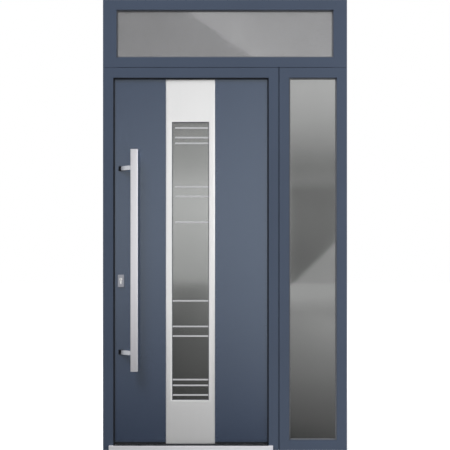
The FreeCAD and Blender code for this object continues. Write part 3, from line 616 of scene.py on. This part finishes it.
def screw_head(bm, slots, centre, out, radius):
    """A flat countersunk head with a cross slot: it stands on centre and looks along out. The slot is a
    near-black inlay flush with the head, painted shade for a real groove.
    """
    centre, out = Vector(centre), Vector(out)
    profile = [
        (0, 0), (radius * HEAD_FLAT_SHARE, 0), (radius, -HEAD_RIM), (radius, -HEAD_DEEP), (0, -HEAD_DEEP),
    ]
    lathe(bm, profile, centre + out * HEAD_PROUD, out, 24)
    side = out.orthogonal().normalized()
    other = out.cross(side)
    for first, second in ((side, other), (other, side)):
        top_points = [
            centre + out * SLOT_TOP + first * (radius * SLOT_LONG * a) + second * (radius * SLOT_WIDE * b)
            for a, b in ((-1, -1), (1, -1), (1, 1), (-1, 1))
        ]
        top = [slots.verts.new(point) for point in top_points]
        under = [slots.verts.new(point - out * SLOT_DEEP) for point in top_points]
        slots.faces.new(top)
        slots.faces.new(under[::-1])
        bridge(slots, top, under)


# Nine screws in each half of the hinges.
HINGE_FEET = (0.195, 0.975, 1.755)
SCREWS_UP = (0.018, 0.055, 0.092)
SCREW_RADIUS = 0.0042
SCREW_FROM_EDGE = 0.0105
FLAP_FACE_Y = 0.048
HEAD_PROUD, HEAD_RIM, HEAD_DEEP = 0.0003, 0.0002, 0.0008
SLOT_TOP, SLOT_DEEP = 0.00034, 0.0004
# Shares of a screw's radius: the head's flat middle and the reach of each slot along and across.
HEAD_FLAT_SHARE, SLOT_LONG, SLOT_WIDE = 0.86, 0.62, 0.12
for node, body in (("hinge_jamb_side", "frame"), ("hinge_leaf_side", "leaf")):
    low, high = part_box(node)
    heads, slots = bmesh.new(), bmesh.new()
    flap_x = high.x - SCREW_FROM_EDGE if body == "frame" else low.x + SCREW_FROM_EDGE
    for foot in HINGE_FEET:
        for up in SCREWS_UP:
            screw_head(heads, slots, (flap_x, FLAP_FACE_Y, foot + up), (0, 1, 0), SCREW_RADIUS)
    finish_mesh(node + "_screws", heads, MATS["bright"], body)
    # The slots are real grooves; their near-black inlays are painted shade.
    finish_mesh(node + "_slots", slots, MATS["dark"], body)

# The cylinder's plug with its keyway, outside and inside. The keyway is a near-black inlay on the plug's
# face: a real slot, its darkness painted shade.
PLUG_RADIUS, PLUG_EDGE = 0.0064, 0.0006
PLUG_PROUD, PLUG_RIM, PLUG_SUNK = 0.0005, 0.0001, 0.001
PLUG_BELOW_TOP = 0.0084
KEYWAY_HALF_WIDTH = 0.0006
KEYWAY_DOWN, KEYWAY_UP = 0.0038, 0.0034
KEYWAY_BACK, KEYWAY_FRONT = 0.0002, 0.00062
PLUG_PROFILE = [
    (0, PLUG_PROUD), (PLUG_RADIUS - PLUG_EDGE, PLUG_PROUD), (PLUG_RADIUS, PLUG_RIM),
    (PLUG_RADIUS, -PLUG_SUNK), (0, -PLUG_SUNK),
]
low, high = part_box("lock_cylinder")
plug_x = (low.x + high.x) / 2
plug_z = high.z - PLUG_BELOW_TOP
plugs, keyways = bmesh.new(), bmesh.new()
for face_y, out in ((low.y, -1), (high.y, 1)):
    lathe(plugs, PLUG_PROFILE, (plug_x, face_y, plug_z), (0, out, 0), 40)
    near, far = sorted((face_y + out * KEYWAY_BACK, face_y + out * KEYWAY_FRONT))
    add_box(
        keyways, (plug_x - KEYWAY_HALF_WIDTH, near, plug_z - KEYWAY_DOWN),
        (plug_x + KEYWAY_HALF_WIDTH, far, plug_z + KEYWAY_UP),
    )
finish_mesh("lock_plugs", plugs, MATS["bright"], "leaf")
finish_mesh("lock_keyways", keyways, MATS["dark"], "leaf")

# Floor, room and light.
scene = bpy.context.scene
scene.view_settings.view_transform = "Standard"


def grey(value):
    return (value, value, value)


# Tones in mirrors: the floor's by distance, as a share of FLOOR_REACH, the room's and the shade's by height.
FLOOR_REACH = 24.0
FLOOR_TONES = [
    (0.0, grey(0.07)), (0.05, grey(0.18)), (0.17, grey(0.34)), (0.5, grey(0.64)), (1.0, grey(0.94)),
]
ROOM_TONES = [
    (0.0, grey(0.80)), (0.02, grey(0.97)), (0.045, grey(1.15)), (0.068, grey(1.10)), (0.09, grey(0.76)),
    (0.13, grey(0.50)), (0.17, grey(0.22)), (0.24, grey(0.20)), (0.28, grey(0.03)), (1.0, grey(0.03)),
]
SHADE_TONES = [
    (0.0, grey(1.0)), (0.066, grey(1.0)), (0.076, grey(0.68)), (0.1, grey(0.66)), (0.15, grey(0.0)),
    (1.0, grey(0.0)),
]

# The floor: where its tones change, in metres, and how strong they are.
FLOOR_HALF_SIDE = 40
FLOOR_GREY, FLOOR_GLOW = 0.7, 0.75
LEFT_TO_RIGHT = (-0.8, 1.6)
LEFT_STRENGTH = 0.38
BESIDE_LEAF = (0.30, 0.42)
BESIDE_SHARE = 0.9
NEAR_OBJECT = (2.5, 15.0)
NEAR_STRENGTH = 1.9
FAR_LEFT = (-4.5, -2.5)
FAR_LEFT_ADDED = 0.55
BOUNCE_STARTS = (-0.7, 0.3)
BOUNCE_TONES = [(0.0, grey(0.0)), (1.0, grey(0.75))]

# The room: where its tones change, as parts of the unit direction from the object, and how strong they are.
ROOM_FROM_LEFT = (-0.4, 0.0)
ROOM_LEFT_STRENGTH = 0.3
SHADE_STARTS, SHADE_ENDS = (0.05, 0.065), (0.105, 0.12)
SHADE_LINE_NORMAL = (-0.98, 0.0, 1.0)
SHADE_LINE = (-0.0866, -0.0854)
BELOW_SHADE_LINE = 0.14
SHADE_STRENGTH = 0.27
PANEL_NORMAL = (0.5765, 0.1691, 0.7993)
PANEL_EDGE, PANEL_FADES = (-0.001, 0.002), (0.0, 0.12)
PANEL_RISES = (0.178, 0.186)
PANEL_STRENGTH = 0.15
PATCH_STARTS = (0.046, 0.06)
PATCH_RISES, PATCH_ENDS = (0.085, 0.165), (0.178, 0.188)
RIGHT_WALL, LEFT_WALL = (0.2, 0.5), (-0.9, -0.6)
BEHIND = (-0.5, 0.1)
BRIGHT_WALL_RIGHT, BRIGHT_WALL_FRONT = (0.1, 0.3), (-0.4, -0.1)
WALL_STRENGTH, BRIGHT_WALL_STRENGTH = 0.5, 2.35
PLAIN_STRENGTH = 0.40


def light_path(nodes, output):
    return nodes.new("ShaderNodeLightPath").outputs[output]


def mixed(nodes, links, factor, first, second):
    node = nodes.new("ShaderNodeMixShader")
    links.new(factor, node.inputs["Fac"])
    links.new(first, node.inputs[1])
    links.new(second, node.inputs[2])
    return node.outputs[0]


def added(nodes, links, first, second):
    node = nodes.new("ShaderNodeAddShader")
    links.new(first, node.inputs[0])
    links.new(second, node.inputs[1])
    return node.outputs[0]


def combined(nodes, links, operation, first, second):
    node = nodes.new("ShaderNodeMath")
    node.operation = operation
    links.new(first, node.inputs[0])
    links.new(second, node.inputs[1])
    return node.outputs[0]


def product(nodes, links, first, *others):
    for other in others:
        first = combined(nodes, links, "MULTIPLY", first, other)
    return first


def reach_along(nodes, links, vector, normal):
    """How far a vector reaches along another one."""
    node = nodes.new("ShaderNodeVectorMath")
    node.operation = "DOT_PRODUCT"
    node.inputs[1].default_value = normal
    links.new(vector, node.inputs[0])
    return node.outputs["Value"]


def place_of(nodes, links, output):
    """A place or a direction, whole and as its three parts."""
    vector = nodes.new("ShaderNodeTexCoord").outputs[output]
    split = nodes.new("ShaderNodeSeparateXYZ")
    links.new(vector, split.inputs["Vector"])
    return vector, split.outputs["X"], split.outputs["Y"], split.outputs["Z"]


def seen_or_through(nodes, links):
    """1 for what the camera sees, straight or through glass."""
    return combined(
        nodes, links, "MAXIMUM",
        light_path(nodes, "Is Camera Ray"), light_path(nodes, "Is Transmission Ray"),
    )


def mirrored_floor(nodes, links, vector, x):
    """Tones of the floor in mirrors: dark near the object and at its left, paler far away."""
    away = nodes.new("ShaderNodeVectorMath")
    away.operation = "LENGTH"
    links.new(vector, away.inputs[0])
    distance = away.outputs["Value"]
    far = spread(nodes, links, distance, 0.0, 1.0, 0.0, FLOOR_REACH)
    to_right = spread(nodes, links, x, LEFT_STRENGTH, 1.0, *LEFT_TO_RIGHT)
    beside_leaf = spread(nodes, links, x, 0.0, BESIDE_SHARE, *BESIDE_LEAF)
    near = spread(nodes, links, distance, 1.0, 0.0, *NEAR_OBJECT)
    raised = spread(
        nodes, links, product(nodes, links, beside_leaf, near), 1.0, NEAR_STRENGTH, 0.0, 1.0,
    )
    far_left = spread(nodes, links, x, FAR_LEFT_ADDED, 0.0, *FAR_LEFT)
    node = nodes.new("ShaderNodeEmission")
    links.new(ramp(nodes, links, far, FLOOR_TONES), node.inputs["Color"])
    strength = combined(nodes, links, "ADD", far_left, product(nodes, links, to_right, raised))
    links.new(strength, node.inputs["Strength"])
    return node.outputs[0]


def floor_material():
    """Floor, white to the eye but for the object's shadow, in duller tones in mirrors."""
    mat = bpy.data.materials.new("floor_finish")
    mat.use_nodes = True
    nodes, links = mat.node_tree.nodes, mat.node_tree.links
    nodes.clear()
    out = nodes.new("ShaderNodeOutputMaterial")
    vector, x, _, _ = place_of(nodes, links, "Object")
    seen = nodes.new("ShaderNodeBsdfDiffuse")
    seen.inputs["Color"].default_value = (*grey(FLOOR_GREY), 1)
    glow = nodes.new("ShaderNodeEmission")
    glow.inputs["Strength"].default_value = FLOOR_GLOW
    # The light that the floor throws back is weaker at the left.
    bounce = nodes.new("ShaderNodeBsdfDiffuse")
    share = spread(nodes, links, x, 0.0, 1.0, *BOUNCE_STARTS)
    links.new(ramp(nodes, links, share, BOUNCE_TONES), bounce.inputs["Color"])
    lit = mixed(
        nodes, links, seen_or_through(nodes, links), bounce.outputs[0],
        added(nodes, links, seen.outputs[0], glow.outputs[0]),
    )
    in_mirrors = mirrored_floor(nodes, links, vector, x)
    links.new(
        mixed(nodes, links, light_path(nodes, "Is Glossy Ray"), lit, in_mirrors), out.inputs["Surface"],
    )
    return mat


floor_mesh = bmesh.new()
bmesh.ops.create_grid(floor_mesh, x_segments=1, y_segments=1, size=FLOOR_HALF_SIDE)
mesh = bpy.data.meshes.new("floor")
floor_mesh.to_mesh(mesh)
floor_mesh.free()
floor = bpy.data.objects.new("floor", mesh)
scene.collection.objects.link(floor)
floor.data.materials.append(floor_material())


def background(nodes, strength):
    node = nodes.new("ShaderNodeBackground")
    node.inputs["Color"].default_value = (1, 1, 1, 1)
    node.inputs["Strength"].default_value = strength
    return node


def room_in_front(nodes, links, vector, x, z):
    """The room in mirrors: duller high up and at the left, shaded over a line that rises to the right."""
    from_left = spread(nodes, links, x, ROOM_LEFT_STRENGTH, 1.0, *ROOM_FROM_LEFT)
    line = reach_along(nodes, links, vector, SHADE_LINE_NORMAL)
    shade = product(
        nodes, links, ramp(nodes, links, z, SHADE_TONES),
        spread(nodes, links, x, 0.0, 1.0, *SHADE_STARTS),
        spread(nodes, links, x, 1.0, 0.0, *SHADE_ENDS),
        spread(nodes, links, line, BELOW_SHADE_LINE, 1.0, *SHADE_LINE),
    )
    shaded = spread(nodes, links, shade, 1.0, SHADE_STRENGTH, 0.0, 1.0)
    room = background(nodes, 1.0)
    links.new(ramp(nodes, links, z, ROOM_TONES), room.inputs["Color"])
    links.new(product(nodes, links, from_left, shaded), room.inputs["Strength"])
    return room.outputs[0]


def panel_and_patch(nodes, links, vector, x, z):
    """A slanting panel of light high up, brightest along its lower edge, and a patch at the leaf's head."""
    across = reach_along(nodes, links, vector, PANEL_NORMAL)
    panel = product(
        nodes, links, spread(nodes, links, across, 0.0, 1.0, *PANEL_EDGE),
        spread(nodes, links, across, PANEL_STRENGTH, 0.0, *PANEL_FADES),
        spread(nodes, links, z, 0.0, 1.0, *PANEL_RISES),
    )
    patch = product(
        nodes, links, spread(nodes, links, x, 0.0, 1.0, *PATCH_STARTS),
        spread(nodes, links, z, 0.0, 1.0, *PATCH_RISES),
        spread(nodes, links, z, 1.0, 0.0, *PATCH_ENDS),
    )
    lights = background(nodes, 0.0)
    links.new(combined(nodes, links, "ADD", panel, patch), lights.inputs["Strength"])
    return lights.outputs[0]


def studio_world():
    """White to the eye, plain to matt faces. Mirrors see a duller room in front and walls all round."""
    world = bpy.data.worlds.new("studio")
    world.use_nodes = True
    nodes, links = world.node_tree.nodes, world.node_tree.links
    nodes.clear()
    out = nodes.new("ShaderNodeOutputWorld")
    vector, x, y, z = place_of(nodes, links, "Generated")
    room = added(
        nodes, links, room_in_front(nodes, links, vector, x, z), panel_and_patch(nodes, links, vector, x, z),
    )
    # The walls are brighter at the front right.
    bright = product(
        nodes, links, spread(nodes, links, x, 0.0, 1.0, *BRIGHT_WALL_RIGHT),
        spread(nodes, links, y, 1.0, 0.0, *BRIGHT_WALL_FRONT),
    )
    walls = background(nodes, 1.0)
    wall_strength = spread(nodes, links, bright, WALL_STRENGTH, BRIGHT_WALL_STRENGTH, 0.0, 1.0)
    links.new(wall_strength, walls.inputs["Strength"])
    sideways = combined(
        nodes, links, "MAXIMUM",
        spread(nodes, links, x, 0.0, 1.0, *RIGHT_WALL), spread(nodes, links, x, 1.0, 0.0, *LEFT_WALL),
    )
    around = combined(nodes, links, "MAXIMUM", sideways, spread(nodes, links, y, 0.0, 1.0, *BEHIND))
    mirrored = mixed(nodes, links, around, room, walls.outputs[0])
    plain = background(nodes, PLAIN_STRENGTH)
    lit = mixed(nodes, links, light_path(nodes, "Is Glossy Ray"), plain.outputs[0], mirrored)
    white = background(nodes, 1.0)
    through = seen_or_through(nodes, links)
    links.new(mixed(nodes, links, through, lit, white.outputs[0]), out.inputs["Surface"])
    return world


scene.world = studio_world()


def area_light(name, place, aim, size, power):
    """A square lamp that mirrors don't show."""
    data = bpy.data.lights.new(name, "AREA")
    data.energy = power
    data.size = size
    thing = bpy.data.objects.new(name, data)
    thing.location = place
    thing.rotation_euler = (Vector(aim) - Vector(place)).to_track_quat("-Z", "Y").to_euler()
    thing.visible_glossy = False
    scene.collection.objects.link(thing)


area_light("key_light", place=(-3.8, -7.2, 9.2), aim=(0, 0, 1.2), size=4.6, power=1065)
area_light("low_light", place=(2.7, -2.6, 0.7), aim=(0.5, 0, 0.7), size=1.0, power=20)

# Camera: level, with a vertical shift, so that upright lines stay parallel. The picture is PICTURE_SIDE
# pixels wide and high, and the object's middle column and foot row lie at these places in it.
PICTURE_SIDE = 450
MIDDLE_COLUMN = 224.98
FOOT_ROW = 450.33
METRES_PER_PIXEL = 0.005409
CAMERA_Y = -5.7
CAMERA_Z = 1.03
SENSOR_WIDTH = 36
camera_data = bpy.data.cameras.new("camera")
camera = bpy.data.objects.new("camera", camera_data)
scene.collection.objects.link(camera)
scene.camera = camera
camera.location = (0.0, CAMERA_Y, CAMERA_Z)
camera.rotation_euler = (math.radians(90), 0, 0)
view_height = PICTURE_SIDE * METRES_PER_PIXEL
camera_data.sensor_width = SENSOR_WIDTH
camera_data.lens = SENSOR_WIDTH * (FRONT_Y - CAMERA_Y) / view_height
middle_z = (FOOT_ROW - PICTURE_SIDE / 2) * METRES_PER_PIXEL
camera_data.shift_y = (middle_z - CAMERA_Z) / view_height
camera_data.shift_x = (PICTURE_SIDE / 2 - MIDDLE_COLUMN) * METRES_PER_PIXEL / view_height
camera_data.clip_end = 200
